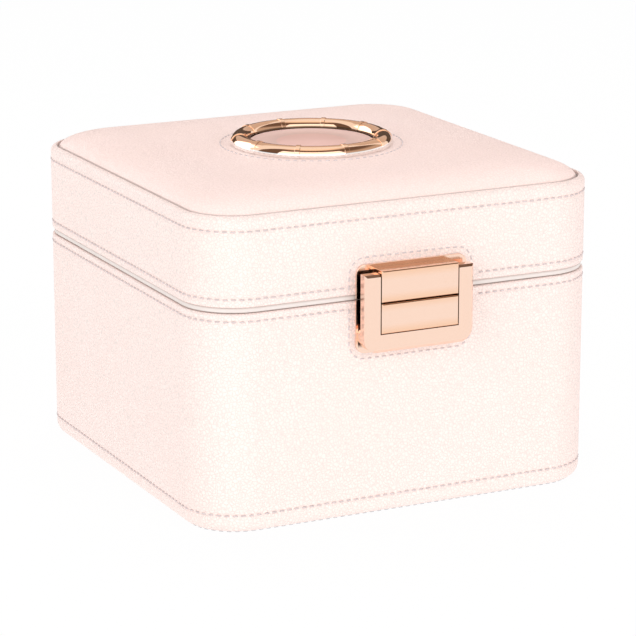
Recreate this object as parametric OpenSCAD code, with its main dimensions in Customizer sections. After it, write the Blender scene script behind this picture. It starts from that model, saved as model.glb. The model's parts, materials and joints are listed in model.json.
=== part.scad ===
/* [Box] */
// Width of the box, left to right
box_w = 170; // [150:1:200]
// Depth of the box, front to back
box_d = 170; // [150:1:200]
// Height of the body, from the table to its rim
body_h = 85.8; // [82:0.1:110]
// Height of the lid's side, from its lower edge to the top of its rolled edge
lid_h = 35.5; // [34:0.1:50]
// Rise of the padded top panel above the rolled edge
crown_h = 6.3; // [4:0.1:8]
// Outside radius of the upright corners
corner_r = 22; // [18:1:30]
// Radius of the rolled lower edge of the body
base_edge_r = 5; // [3:0.1:5]
// Radius of the rolled upper edge of the lid
lid_edge_r = 2.4; // [1.8:0.1:3.6]

/* [Walls] */
// Thickness of the leather cover
leather_t = 1.2; // [0.8:0.1:1.5]
// Thickness of the boards
board_t = 4; // [4:0.1:5]
// Thickness of the velvet lining
lining_t = 1.3; // [0.8:0.1:2]
// Gap between the body's rim and the lid
seam_gap = 0.4; // [0.3:0.1:1]
// Height of the grey rim band under the lid
rim_band_h = 1.4; // [1:0.1:3]
// How far the rim band stands back from the lid's face
rim_band_set = 0.8; // [0.3:0.1:1.5]
// Thickness of the padded floor
floor_pad_t = 3; // [2:0.1:5]

/* [Clasp] */
// Width of the clasp's base plate
clasp_w = 47; // [40:0.5:52]
// Height of the base plate above the seam
clasp_up = 13; // [12:0.1:16]
// Height of the base plate below the body's rim
clasp_down = 20.8; // [18:0.1:26]
// Thickness of the base plate
clasp_plate_t = 1; // [0.8:0.1:1.4]
// How far the clasp stands out from the front
clasp_out = 7.6; // [7:0.1:9]
// Width of an arm of the frame
clasp_arm_w = 6.4; // [5:0.1:8]
// Travel of the push button
button_travel = 1.4; // [0.8:0.1:1.5]

/* [Hinges] */
// Gap between a hinge and the rounded corner of the back
hinge_gap = 4; // [1:0.5:12]
// Width of a hinge
hinge_w = 26; // [22:0.5:32]
// Height of a hinge leaf
leaf_h = 14; // [12:0.5:18]
// Radius of the hinge barrel
barrel_r = 2.3; // [2:0.1:2.4]
// Radius of the hinge pin
pin_r = 1; // [0.8:0.1:1.1]
// Opening angle of the lid, where the stop lugs meet the leaves
lid_open = 100; // [90:1:110]

/* [Ring] */
// Radius of the ring on the lid, at the middle of its tube
ring_r = 28.7; // [22:0.1:32]
// Radius of the ring's tube
ring_tube_r = 3.5; // [2.5:0.1:4.5]
// Number of collars on the ring
ring_collars = 10; // [6:1:16]

/* [Mirror] */
// Gap between the mirror's frame and the lining
mirror_gap = 12.5; // [11.5:0.5:28]
// Width of the mirror's frame
mirror_frame_w = 7; // [5:0.5:9]

/* [Tray] */
// Height of the lift-out tray
tray_h = 24; // [20:0.5:25]
// Thickness of the tray's walls and floor
tray_t = 2.5; // [2:0.1:3.5]
// Gap between the tray and the lining
tray_gap = 1.5; // [1:0.1:3]
// Place of the tray's front to back divider, from the middle
tray_split_x = 4; // [-10:1:20]
// Place of the tray's left to right divider, from the middle
tray_split_y = -22; // [-30:1:0]
// Number of ring rolls
roll_count = 7; // [5:1:9]

/* [Hidden] */
$fn = 64;

// Finish colours
blush = "mistyrose";
velvet = "linen";
rose_gold = "lightsalmon";
board = "burlywood";
grey = "lightgrey";

// Levels and insets of the body, insets counted inwards from the outer face
eps = 0.01;
over = 1;
cover_lift = 0.2;
board_z = cover_lift + leather_t;
floor_z = board_z + board_t;
pad_z = floor_z + floor_pad_t;
wall_in = leather_t + board_t;
inner_in = wall_in + lining_t;
turn_under = 12;
rim_r = 0.6;
sheet_gap = 1;
sheet_in = turn_under + sheet_gap;
front_y = -box_d / 2;
back_y = box_d / 2;

// Levels of the lid
lid_z = body_h + seam_gap;
lid_cover_z = lid_z + rim_band_h;
lid_top_z = lid_z + lid_h;
lid_board_top = lid_top_z - leather_t;
lid_board_z = lid_board_top - board_t;
ceiling_z = lid_board_z - lining_t;

// Padded top: its edge, the flat middle under the ring and the curve between
groove_w = 0.7;
groove_land = 0.1;
top_in = lid_edge_r + groove_land + groove_w;
top_z = lid_top_z + crown_h;
top_cover_t = 1;
ring_margin = 6;
flat_half = ring_r + ring_tube_r + ring_margin;
crown_run = min(box_w, box_d) / 2 - top_in - flat_half;
crown_power = 4;
crown_full = 0.55;
crown_steps = 9;
crown_spread = 1.6;
crown_corner_r = 6;
corner_steps = 6;

// Ring
ring_rise = 0.9;
collar_w = 1.8;
collar_out = 0.3;
disc_gap = 0.4;
disc_t = 1;

// Clasp
clasp_r = 4;
frame_set = 0.5;
frame_up = 10.6;
frame_down = 19.5;
frame_corner_r = 5.5;
frame_bar_h = 6.9;
frame_gap = 2.6;
frame_w = clasp_w - 2 * frame_set;
opening_w = frame_w - 2 * clasp_arm_w;
frame_z = body_h - frame_down;
opening_z = frame_z + frame_bar_h;
arm_back = clasp_plate_t + frame_gap;
slide_gap = 0.35;
split_drop = 0.5;
split_z = body_h - split_drop;
split_gap = 0.5;
panel_up = 11.9;
panel_proud = 0.5;
panel_out = clasp_out + panel_proud;
panel_w = opening_w - 2 * slide_gap;
frame_bevel = 0.9;
panel_bevel = 0.4;
flange_w = 1.6;
flange_t = 1;
button_rest_gap = 0.3;
button_back = arm_back + button_rest_gap;
tongue_w = 16;
tongue_down = 7;
tongue_gap = 0.3;
tongue_t = 0.8;
stud_r = 1.3;
stud_in = 4;
stud_x = clasp_w / 2 - stud_in;
stud_low = 17;
nut_r = 3;
nut_t = 1.2;
nut_gap = 0.4;
stud_high = rim_band_h + leather_t + nut_r + nut_gap;
bore_gap = 0.05;
spring_half = 13;
spring_t = 0.3;
spring_h = 2.2;

// Hinges
leaf_t = 1;
leaf_r = 2;
axis_out = 2.5;
axis_y = back_y + axis_out;
axis_z = body_h + seam_gap / 2;
knuckle_gap = 0.3;
lid_knuckle_w = 8.2;
leaf_gap = 0.4;
pin_gap = 0.05;
pin_head_r = 1.6;
pin_head_t = 0.6;
lug_w = 6;
lug_t = 2;
lug_reach = 2.2;
lug_root = 0.2;
lug_gap = 0.15;
screw_r = 0.9;
screw_head_r = 1.7;
screw_head_h = 0.8;
screw_slot = 0.4;
screw_bite = 0.75;
screw_l = leaf_t + leather_t + screw_bite * board_t;
screw_in = 4;
screw_x = hinge_w / 2 - screw_in;
screw_z = leaf_h - screw_in;
hinge_x = box_w / 2 - corner_r - hinge_gap - hinge_w / 2;

// Mirror
mirror_t = 2;
mirror_lip_t = 1;
mirror_lip = 3;
mirror_r = 10;

// Inside of the body and the tray
divider_t = 3;
divider_end = 0.2;
divider_y = 12;
rail_w = 5;
rail_h = 8;
rail_l = 110;
inner_w = box_w - 2 * inner_in;
inner_d = box_d - 2 * inner_in;
mirror_side = min(inner_w, inner_d) - 2 * mirror_gap;
tray_drop = 2.3;
tray_top = body_h - tray_drop;
tray_z = tray_top - tray_h;
tray_w = inner_w - 2 * tray_gap;
tray_d = inner_d - 2 * tray_gap;
tray_r = corner_r - inner_in - tray_gap;
divider_gap = 1.5;
divider_top = tray_z - rail_h - divider_gap;
tray_divider_t = 2;
tray_divider_drop = 3;
notch_r = 11;
notch_rise = 3;
roll_gap = 0.4;
roll_end_r = 2.5;
corner_clear = 0.3;
roll_end = corner_clear * (tray_r - tray_t) + divider_end;
bay_x0 = -tray_w / 2 + tray_t;
bay_x1 = tray_split_x - tray_divider_t / 2;
bay_y0 = tray_split_y + tray_divider_t / 2;
bay_y1 = tray_d / 2 - tray_t - roll_end;
roll_pitch = (bay_y1 - bay_y0) / roll_count;
roll_r = (roll_pitch - roll_gap) / 2;
roll_l = bay_x1 - bay_x0 - 2 * roll_end;

// A rounded rectangle, flat
module rounded(w, d, r) {
  square([w - 2 * r, d], center = true);
  square([w, d - 2 * r], center = true);
  for (sx = [-1, 1], sy = [-1, 1])
    translate([sx * (w / 2 - r), sy * (d / 2 - r)]) circle(r);
}

// A board that follows the box's outline, set in from its outer face
module inset_board(inset, z, t) {
  translate([0, 0, z])
    linear_extrude(t) rounded(box_w - 2 * inset, box_d - 2 * inset, corner_r - inset);
}

// Runs an upright section round a rounded rectangle
// The section's x is counted outwards from the outer face and its y is the height
module run_round(w, d, r) {
  for (i = [0:3]) {
    along = i % 2 == 0 ? d : w;
    across = i % 2 == 0 ? w : d;
    rotate(90 * i)
      translate([across / 2, 0, 0])
        rotate([90, 0, 0]) linear_extrude(along - 2 * r, center = true) children();
    rotate(90 * i)
      translate([across / 2 - r, along / 2 - r, 0])
        rotate_extrude(angle = 90) translate([r, 0]) children();
  }
}

// A quarter of a disc that fills the outer corner of a section
module corner_fill(r, up) {
  intersection() {
    circle(r);
    translate([0, up ? 0 : -r]) square(r);
  }
}

// An upright slab in section, with its outer corners rounded
module slab(inset0, inset1, z0, z1, low_r = 0, high_r = 0) {
  t = inset1 - inset0;
  translate([-inset1, z0 + low_r]) square([t, z1 - z0 - low_r - high_r]);
  if (low_r > 0) {
    translate([-inset1, z0]) square([t - low_r, low_r]);
    translate([-inset0 - low_r, z0 + low_r]) corner_fill(low_r, false);
  }
  if (high_r > 0) {
    translate([-inset1, z1 - high_r]) square([t - high_r, high_r]);
    translate([-inset0 - high_r, z1 - high_r]) corner_fill(high_r, true);
  }
}

// A flat shape drawn in x and z, raised from one distance in front of the box to another
module from_front(out0, out1) {
  translate([0, front_y - out0, 0]) rotate([90, 0, 0]) linear_extrude(out1 - out0) children();
}

// The same behind the box
module from_back(out0, out1) {
  translate([0, back_y + out1, 0]) rotate([90, 0, 0]) linear_extrude(out1 - out0) children();
}

// An upright rectangle with two corners rounded, at its top or its foot
module tab_shape(w, z0, z1, r, round_top) {
  h = z1 - z0;
  translate([-w / 2, round_top ? z0 : z0 + r]) square([w, h - r]);
  translate([-w / 2 + r, round_top ? z1 - r : z0]) square([w - 2 * r, r]);
  for (s = [-1, 1])
    translate([s * (w / 2 - r), round_top ? z1 - r : z0 + r]) circle(r);
}

// The same shape in front of the box, with a bevel round its front face
module bevelled_tab(out0, out1, w, z0, z1, r, bevel) {
  hull() {
    from_front(out0, out1 - bevel) tab_shape(w, z0, z1, r, false);
    from_front(out1 - eps, out1)
      tab_shape(w - 2 * bevel, z0 + bevel, z1 - bevel, r - bevel, false);
  }
}

// A plain rectangle in front of the box, with a bevel round its front face
module bevelled_bar(out0, out1, w, z0, z1, bevel) {
  hull() {
    from_front(out0, out1 - bevel) translate([-w / 2, z0]) square([w, z1 - z0]);
    from_front(out1 - eps, out1)
      translate([-w / 2 + bevel, z0 + bevel]) square([w - 2 * bevel, z1 - z0 - 2 * bevel]);
  }
}

// Studs of the clasp's plates, through the wall
module studs(z, r) {
  for (s = [-1, 1])
    translate([s * stud_x, 0, z]) from_front(-wall_in, eps) circle(r);
}

// Seats of the studs' nuts, in the inner face of the wall
module nut_seats(z, r) {
  for (s = [-1, 1])
    translate([s * stud_x, 0, z]) from_front(-wall_in - eps, -wall_in + nut_t) circle(r);
}

module nuts(z) {
  for (s = [-1, 1])
    translate([s * stud_x, 0, z]) difference() {
      from_front(-wall_in, -wall_in + nut_t) circle(nut_r);
      from_front(-wall_in - over, 0) circle(stud_r + bore_gap);
    }
}

// Holes of the hinge screws on one side of the seam
module screw_holes(up, r) {
  for (h = [-1, 1], s = [-1, 1])
    translate([h * hinge_x + s * screw_x, 0, axis_z + up * screw_z])
      from_back(leaf_t - screw_l - over, leaf_t + over) circle(r);
}

module screw_dome() {
  rotate_extrude() intersection() {
    translate([0, screw_head_h - screw_head_r]) circle(screw_head_r);
    square([screw_head_r, screw_head_h]);
  }
}

module hinge_screws(up) {
  for (h = [-1, 1], s = [-1, 1])
    translate([h * hinge_x + s * screw_x, back_y + leaf_t, axis_z + up * screw_z])
      difference() {
        rotate([-90, 0, 0]) union() {
          screw_dome();
          translate([0, 0, -screw_l]) cylinder(r = screw_r, h = screw_l + eps);
        }
        translate([-screw_head_r, screw_head_h / 2, -screw_slot / 2])
          cube([2 * screw_head_r, screw_head_h, screw_slot]);
      }
}

// A hinge leaf: up is 1 on the lid and -1 on the body
module leaf_plate(up) {
  z_far = axis_z + up * leaf_h;
  z_near = axis_z + up * (barrel_r + leaf_gap);
  from_back(0, leaf_t) tab_shape(hinge_w, min(z_far, z_near), max(z_far, z_near), leaf_r, up > 0);
}

// One knuckle and the neck that joins it to its leaf
module knuckle(up, x0, x1) {
  translate([x0, axis_y, axis_z]) rotate([0, 90, 0]) cylinder(r = barrel_r, h = x1 - x0);
  neck = barrel_r + leaf_gap + leaf_t;
  from_back(0, leaf_t)
    translate([x0, up > 0 ? axis_z : axis_z - neck]) square([x1 - x0, neck]);
}

module pin_bore() {
  translate([-hinge_w, axis_y, axis_z])
    rotate([0, 90, 0]) cylinder(r = pin_r + pin_gap, h = 2 * hinge_w);
}

// A lug that meets the body's leaf when the lid is fully open
module stop_lug() {
  translate([0, axis_y, axis_z]) rotate([lid_open, 0, 0])
    translate([-lug_w / 2, leaf_t - axis_out + lug_gap, -barrel_r - lug_reach])
      cube([lug_w, lug_t, barrel_r + lug_reach - pin_r - pin_gap - lug_root]);
}

module body_leaf(side) {
  color(rose_gold) difference() {
    translate([side * hinge_x, 0, 0]) difference() {
      union() {
        leaf_plate(-1);
        knuckle(-1, -hinge_w / 2, -lid_knuckle_w / 2 - knuckle_gap);
        knuckle(-1, lid_knuckle_w / 2 + knuckle_gap, hinge_w / 2);
      }
      pin_bore();
    }
    screw_holes(-1, screw_r + bore_gap);
  }
}

module lid_leaf(side) {
  color(rose_gold) difference() {
    translate([side * hinge_x, 0, 0]) difference() {
      union() {
        leaf_plate(1);
        knuckle(1, -lid_knuckle_w / 2, lid_knuckle_w / 2);
        stop_lug();
      }
      pin_bore();
    }
    screw_holes(1, screw_r + bore_gap);
  }
}

module hinge_pin(side) {
  color(rose_gold) translate([side * hinge_x, axis_y, axis_z]) rotate([0, 90, 0]) {
    cylinder(r = pin_r, h = hinge_w, center = true);
    for (s = [-1, 1])
      translate([0, 0, s * (hinge_w + pin_head_t) / 2])
        cylinder(r = pin_head_r, h = pin_head_t, center = true);
  }
}

// Points of the box's outline at an inset and a height
function outline(inset, z) =
  let (r = max(corner_r - inset, crown_corner_r))
  let (half = [box_w / 2 - inset - r, box_d / 2 - inset - r])
  [for (q = [0:3], i = [0:corner_steps])
    let (a = 90 * q + 90 * i / corner_steps)
    [(q == 0 || q == 3 ? 1 : -1) * half.x + r * cos(a), (q < 2 ? 1 : -1) * half.y + r * sin(a), z]];

// Height of the padded top at a fraction of its run, from its edge to its flat middle
function crown_level(f, z0, z1) = z0 + (z1 - z0) * pow(1 - pow(1 - f, crown_power), crown_full);

// The padded top's surface as rings of points, finer near its edge
function crown_rings(inset, z1) =
  [for (i = [0:crown_steps])
    let (f = pow(i / crown_steps, crown_spread))
    each outline(inset + f * (top_in + crown_run - inset), crown_level(f, lid_board_top, z1))];

ring_points = 4 * (corner_steps + 1);

// Triangles between each ring of points and the next
function band_faces(first, bands, outward) =
  [for (b = [0:bands - 1], i = [0:ring_points - 1])
    let (a0 = first + b * ring_points + i)
    let (a1 = first + b * ring_points + (i + 1) % ring_points)
    each outward
      ? [[a0, a0 + ring_points, a1], [a1, a0 + ring_points, a1 + ring_points]]
      : [[a0, a1, a0 + ring_points], [a1, a1 + ring_points, a0 + ring_points]]];

function cap_face(first, upward) =
  [for (i = [0:ring_points - 1]) first + (upward ? ring_points - 1 - i : i)];

// Body
module base_sheet() {
  color(grey) inset_board(sheet_in, 0, board_z);
}

module base_board() {
  color(board) inset_board(wall_in, board_z, board_t);
}

module body_wall() {
  color(board) difference() {
    run_round(box_w, box_d, corner_r)
      slab(leather_t, wall_in, board_z, body_h - leather_t, base_edge_r - leather_t);
    studs(body_h - stud_low, stud_r + bore_gap);
    nut_seats(body_h - stud_low, nut_r + bore_gap);
    screw_holes(-1, screw_r + bore_gap);
  }
}

module body_cover() {
  color(blush) difference() {
    run_round(box_w, box_d, corner_r) difference() {
      slab(0, turn_under, cover_lift, body_h, base_edge_r, rim_r);
      slab(leather_t, turn_under + over, board_z, body_h - leather_t, base_edge_r - leather_t);
      slab(wall_in, turn_under + over, floor_z, body_h + over);
    }
    studs(body_h - stud_low, stud_r + bore_gap);
    screw_holes(-1, screw_r + bore_gap);
  }
}

module body_lining() {
  color(velvet) run_round(box_w, box_d, corner_r) slab(wall_in, inner_in, floor_z, body_h);
}

module floor_pad() {
  color(velvet) inset_board(inner_in + divider_end, floor_z, floor_pad_t);
}

module divider_along() {
  h = divider_top - pad_z;
  color(velvet) difference() {
    translate([-divider_t / 2, -inner_d / 2 + divider_end, pad_z])
      cube([divider_t, inner_d - 2 * divider_end, h]);
    translate([-divider_t, divider_y - divider_t / 2 - divider_end, pad_z - eps])
      cube([2 * divider_t, divider_t + 2 * divider_end, h / 2]);
  }
}

module divider_across() {
  h = divider_top - pad_z;
  color(velvet) difference() {
    translate([-inner_w / 2 + divider_end, divider_y - divider_t / 2, pad_z])
      cube([inner_w - 2 * divider_end, divider_t, h]);
    translate([-divider_t / 2 - divider_end, divider_y - divider_t, pad_z + h / 2 - eps])
      cube([divider_t + 2 * divider_end, 2 * divider_t, h]);
  }
}

module tray_rail(side) {
  x = side * (inner_w - rail_w) / 2;
  color(velvet) translate([x, 0, tray_z - rail_h])
    linear_extrude(rail_h) translate([-rail_w / 2, -rail_l / 2]) square([rail_w, rail_l]);
}

// Clasp on the body: plate, foot, open frame and studs in one casting
module clasp_frame() {
  color(rose_gold) difference() {
    union() {
      from_front(0, clasp_plate_t)
        tab_shape(clasp_w, body_h - clasp_down, body_h, clasp_r, false);
      from_front(clasp_plate_t - eps, arm_back + eps)
        tab_shape(frame_w, frame_z, opening_z, frame_corner_r, false);
      bevelled_tab(
        arm_back, clasp_out, frame_w, frame_z, body_h + frame_up, frame_corner_r, frame_bevel
      );
      studs(body_h - stud_low, stud_r);
    }
    from_front(arm_back, clasp_out + over)
      translate([-opening_w / 2, opening_z]) square([opening_w, frame_down + frame_up]);
    from_front(button_back - button_travel - button_rest_gap, button_back + flange_t + slide_gap)
      translate([-opening_w / 2 - flange_w, opening_z - flange_w])
        square([opening_w + 2 * flange_w, split_z - opening_z + flange_w]);
  }
}

module clasp_frame_nuts() {
  color(rose_gold) nuts(body_h - stud_low);
}

module push_button() {
  button_z = opening_z + slide_gap;
  button_h = split_z - split_gap / 2 - button_z;
  lip = flange_w - slide_gap;
  color(rose_gold) {
    bevelled_bar(
      button_back, panel_out, panel_w, button_z, button_z + button_h, panel_bevel
    );
    from_front(button_back, button_back + flange_t)
      translate([-panel_w / 2 - lip, button_z - lip]) square([panel_w + 2 * lip, button_h]);
  }
}

// A bowed leaf spring between the plate and the button
module button_spring() {
  rise = button_back - clasp_plate_t - 2 * bore_gap;
  r = (spring_half * spring_half + rise * rise) / (2 * rise);
  color("silver")
    translate([0, front_y - clasp_plate_t - bore_gap - rise + r, opening_z + flange_w])
      linear_extrude(spring_h) intersection() {
        difference() {
          circle(r);
          circle(r - spring_t);
        }
        translate([-spring_half, -r]) square([2 * spring_half, rise]);
      }
}

// Lid
module lid_wall() {
  color(board) difference() {
    run_round(box_w, box_d, corner_r)
      slab(leather_t, wall_in, lid_cover_z + leather_t, lid_board_top, 0, lid_edge_r - leather_t);
    studs(lid_z + stud_high, stud_r + bore_gap);
    nut_seats(lid_z + stud_high, nut_r + bore_gap);
    screw_holes(1, screw_r + bore_gap);
  }
}

module lid_board() {
  color(board) inset_board(wall_in, lid_board_z, board_t);
}

module lid_cover() {
  color(blush) difference() {
    run_round(box_w, box_d, corner_r) difference() {
      slab(0, wall_in, lid_cover_z, lid_top_z, rim_r, lid_edge_r);
      slab(leather_t, wall_in + over, lid_cover_z + leather_t, lid_board_top, 0, lid_edge_r - leather_t);
      slab(lid_edge_r + groove_land, wall_in + over, lid_board_top - eps, lid_top_z + over);
    }
    studs(lid_z + stud_high, stud_r + bore_gap);
    screw_holes(1, screw_r + bore_gap);
  }
}

module lid_foam() {
  points = crown_rings(top_in + top_cover_t, top_z - top_cover_t);
  faces = [
    cap_face(0, false),
    each band_faces(0, crown_steps, true),
    cap_face(crown_steps * ring_points, true)
  ];
  color("whitesmoke") polyhedron(points, [for (f = faces) [for (i = [len(f) - 1:-1:0]) f[i]]]);
}

module lid_top_cover() {
  outer = crown_rings(top_in, top_z);
  inner = crown_rings(top_in + top_cover_t, top_z - top_cover_t);
  n = len(outer);
  rim = [for (i = [0:ring_points - 1])
    let (j = (i + 1) % ring_points)
    each [[i, j, n + i], [j, n + j, n + i]]];
  faces = [
    each band_faces(0, crown_steps, true),
    cap_face(crown_steps * ring_points, true),
    each band_faces(n, crown_steps, false),
    cap_face(n + crown_steps * ring_points, false),
    each rim
  ];
  color(blush) polyhedron(concat(outer, inner), faces);
}

module lid_rim_band() {
  color(grey) run_round(box_w, box_d, corner_r) slab(rim_band_set, wall_in, lid_z, lid_cover_z);
}

module lid_lining() {
  color(velvet) {
    run_round(box_w, box_d, corner_r) slab(wall_in, inner_in, lid_z, lid_board_z);
    inset_board(inner_in - eps, ceiling_z, lining_t);
  }
}

module mirror_glass() {
  side = mirror_side - 2 * (mirror_frame_w - mirror_lip);
  color("lightblue") translate([0, 0, ceiling_z - mirror_t])
    linear_extrude(mirror_t) rounded(side, side, mirror_r - mirror_frame_w + mirror_lip);
}

module mirror_frame() {
  low = ceiling_z - mirror_t - mirror_lip_t;
  color(rose_gold) run_round(mirror_side, mirror_side, mirror_r) {
    slab(0, mirror_frame_w - mirror_lip, low, ceiling_z, mirror_lip_t);
    slab(mirror_frame_w - mirror_lip - eps, mirror_frame_w, low, low + mirror_lip_t);
  }
}

// Section of the ring's tube, cut flat where it sits on the lid
module tube_section(r) {
  intersection() {
    translate([ring_r, ring_rise]) circle(r);
    square([2 * ring_r, 2 * ring_tube_r + ring_rise]);
  }
}

module ring() {
  swing = collar_w / ring_r * 180 / PI;
  color(rose_gold) translate([0, 0, top_z]) {
    rotate_extrude() tube_section(ring_tube_r);
    for (i = [0:ring_collars - 1])
      rotate(90 + 360 * i / ring_collars - swing / 2)
        rotate_extrude(angle = swing) tube_section(ring_tube_r + collar_out);
  }
}

module ring_disc() {
  color("pink") translate([0, 0, top_z])
    cylinder(r = ring_r - ring_tube_r - collar_out - disc_gap, h = disc_t);
}

module clasp_lid_plate() {
  color(rose_gold) {
    from_front(0, clasp_plate_t) tab_shape(clasp_w, lid_z, lid_z + clasp_up, clasp_r, true);
    studs(lid_z + stud_high, stud_r);
  }
}

// The panel over the plate, with a tongue that goes down behind the button
module clasp_tongue() {
  panel_z = split_z + split_gap / 2;
  tongue_out = clasp_plate_t + tongue_gap;
  color(rose_gold) {
    bevelled_bar(tongue_out, panel_out, panel_w, panel_z, body_h + panel_up, panel_bevel);
    from_front(clasp_plate_t, tongue_out + eps)
      translate([-panel_w / 2, lid_z]) square([panel_w, body_h + panel_up - lid_z]);
    from_front(tongue_out, tongue_out + tongue_t)
      translate([-tongue_w / 2, panel_z - tongue_down]) square([tongue_w, tongue_down + eps]);
  }
}

module clasp_lid_nuts() {
  color(rose_gold) nuts(lid_z + stud_high);
}

// Tray
module tray_wall() {
  color(velvet) difference() {
    run_round(tray_w, tray_d, tray_r) slab(0, tray_t, tray_z, tray_top);
    translate([-tray_w, 0, tray_top + notch_rise])
      rotate([0, 90, 0]) cylinder(r = notch_r, h = 2 * tray_w);
  }
}

module tray_floor() {
  color(velvet) translate([0, 0, tray_z])
    linear_extrude(tray_t) rounded(tray_w - 2 * tray_t, tray_d - 2 * tray_t, tray_r - tray_t);
}

module tray_divider_along() {
  h = tray_h - tray_t - tray_divider_drop;
  z = tray_z + tray_t;
  color(velvet) difference() {
    translate([tray_split_x - tray_divider_t / 2, -tray_d / 2 + tray_t, z])
      cube([tray_divider_t, tray_d - 2 * tray_t, h]);
    translate([tray_split_x - tray_divider_t, tray_split_y - tray_divider_t / 2 - divider_end, z - eps])
      cube([2 * tray_divider_t, tray_divider_t + 2 * divider_end, h / 2]);
  }
}

module tray_divider_across() {
  h = tray_h - tray_t - tray_divider_drop;
  z = tray_z + tray_t;
  color(velvet) difference() {
    translate([-tray_w / 2 + tray_t, tray_split_y - tray_divider_t / 2, z])
      cube([tray_w - 2 * tray_t, tray_divider_t, h]);
    translate([
      tray_split_x - tray_divider_t / 2 - divider_end, tray_split_y - tray_divider_t, z + h / 2 - eps
    ])
      cube([tray_divider_t + 2 * divider_end, 2 * tray_divider_t, h]);
  }
}

// Padded rolls that hold finger rings between them
module ring_rolls() {
  for (i = [0:roll_count - 1])
    color(velvet)
      translate([bay_x0 + roll_end, bay_y0 + (i + 0.5) * roll_pitch, tray_z + tray_t + roll_r])
        rotate([0, 90, 0]) rotate_extrude() {
          square([roll_r - roll_end_r, roll_l]);
          translate([0, roll_end_r]) square([roll_r, roll_l - 2 * roll_end_r]);
          for (z = [roll_end_r, roll_l - roll_end_r])
            translate([roll_r - roll_end_r, z]) circle(roll_end_r);
        }
}

base_sheet();
base_board();
body_wall();
body_cover();
body_lining();
floor_pad();
divider_along();
divider_across();
tray_rail(-1);  // tray_rail_left
tray_rail(1);  // tray_rail_right
clasp_frame();
clasp_frame_nuts();
button_spring();
push_button();
body_leaf(-1);  // hinge_left_body_leaf
body_leaf(1);  // hinge_right_body_leaf
hinge_pin(-1);  // hinge_left_pin
hinge_pin(1);  // hinge_right_pin
color(rose_gold) hinge_screws(-1);  // hinge_body_screws
lid_leaf(-1);  // hinge_left_lid_leaf
lid_leaf(1);  // hinge_right_lid_leaf
color(rose_gold) hinge_screws(1);  // hinge_lid_screws
lid_wall();
lid_board();
lid_cover();
lid_foam();
lid_top_cover();
lid_rim_band();
lid_lining();
mirror_glass();
mirror_frame();
ring();
ring_disc();
clasp_lid_plate();
clasp_tongue();
clasp_lid_nuts();
tray_wall();
tray_floor();
tray_divider_along();
tray_divider_across();
ring_rolls();
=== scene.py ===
"""Looks of a jewellery box with a padded lid, a ring ornament and a push clasp."""

import json
import math

import bmesh
import bpy
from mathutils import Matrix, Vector

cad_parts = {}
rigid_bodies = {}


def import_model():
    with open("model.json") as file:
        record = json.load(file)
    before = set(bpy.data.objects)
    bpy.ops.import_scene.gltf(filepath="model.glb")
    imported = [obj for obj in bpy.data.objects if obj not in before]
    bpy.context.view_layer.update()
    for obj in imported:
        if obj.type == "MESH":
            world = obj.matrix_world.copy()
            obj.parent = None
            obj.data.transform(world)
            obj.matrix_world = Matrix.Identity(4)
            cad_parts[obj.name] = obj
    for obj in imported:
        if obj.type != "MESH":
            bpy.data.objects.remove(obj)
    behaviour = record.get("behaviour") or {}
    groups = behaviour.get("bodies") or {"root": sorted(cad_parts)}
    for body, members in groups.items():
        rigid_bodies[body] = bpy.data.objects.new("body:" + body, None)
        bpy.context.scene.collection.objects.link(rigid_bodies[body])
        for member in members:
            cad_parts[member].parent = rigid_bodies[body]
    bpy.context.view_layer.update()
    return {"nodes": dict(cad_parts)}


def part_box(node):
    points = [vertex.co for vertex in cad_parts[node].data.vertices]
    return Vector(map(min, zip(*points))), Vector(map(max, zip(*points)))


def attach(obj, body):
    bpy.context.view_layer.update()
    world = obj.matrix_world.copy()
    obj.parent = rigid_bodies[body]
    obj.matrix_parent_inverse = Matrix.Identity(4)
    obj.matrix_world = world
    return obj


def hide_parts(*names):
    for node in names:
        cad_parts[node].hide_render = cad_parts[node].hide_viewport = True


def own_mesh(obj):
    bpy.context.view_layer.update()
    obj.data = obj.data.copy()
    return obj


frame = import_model()

MM = 0.001

# Modelling: the gap that is closed, how square on a face must be to count as facing a way, the
# angle in degrees that counts as level, and how much large faces lead the shading
MERGE_GAP = 0.001 * MM
FACING = 0.9
LEVEL_ANGLE = 1
FLAT_WEIGHT = 100

# Camera, at the photograph's viewing angle
CAMERA_AT = Vector((-0.49442, -1.01136, 0.35571))
CAMERA_LOOK = Vector((0.42644, 0.86710, -0.25746))
CAMERA_LENS = 163.14
CAMERA_SENSOR = 36

bpy.ops.object.select_all(action="DESELECT")
bpy.ops.object.camera_add(
    location=CAMERA_AT, rotation=CAMERA_LOOK.to_track_quat("-Z", "Y").to_euler()
)
camera = bpy.context.object
camera.data.lens = CAMERA_LENS
camera.data.sensor_width = CAMERA_SENSOR
bpy.context.scene.camera = camera

# Levels and widths taken from the frame
body_low, body_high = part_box("body_cover")
lid_low, lid_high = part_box("lid_cover")
pad_low, pad_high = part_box("lid_top_cover")
band_low, band_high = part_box("lid_rim_band")
HALF = body_high.x
FRONT_Y = body_low.y
RIM_Z = body_high.z
HEM_Z = lid_low.z
LID_TOP_Z = lid_high.z
PAD_FOOT_Z = pad_low.z
PAD_TOP_Z = pad_high.z
PAD_HALF = pad_high.x

# Leather covers
CORNER_R = 22 * MM
CORNER_STEPS = 16
LEATHER_T = 1.2 * MM
COVER_LIFT = body_low.z
BASE_ROLL_R = 5 * MM
LID_ROLL_R = 2.4 * MM
RIM_R = 0.9 * MM
TURN_IN = 5.2 * MM
TURN_UNDER = 12 * MM
GROOVE_IN = 2.5 * MM
GROOVE_EDGE = 0.15 * MM

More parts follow.
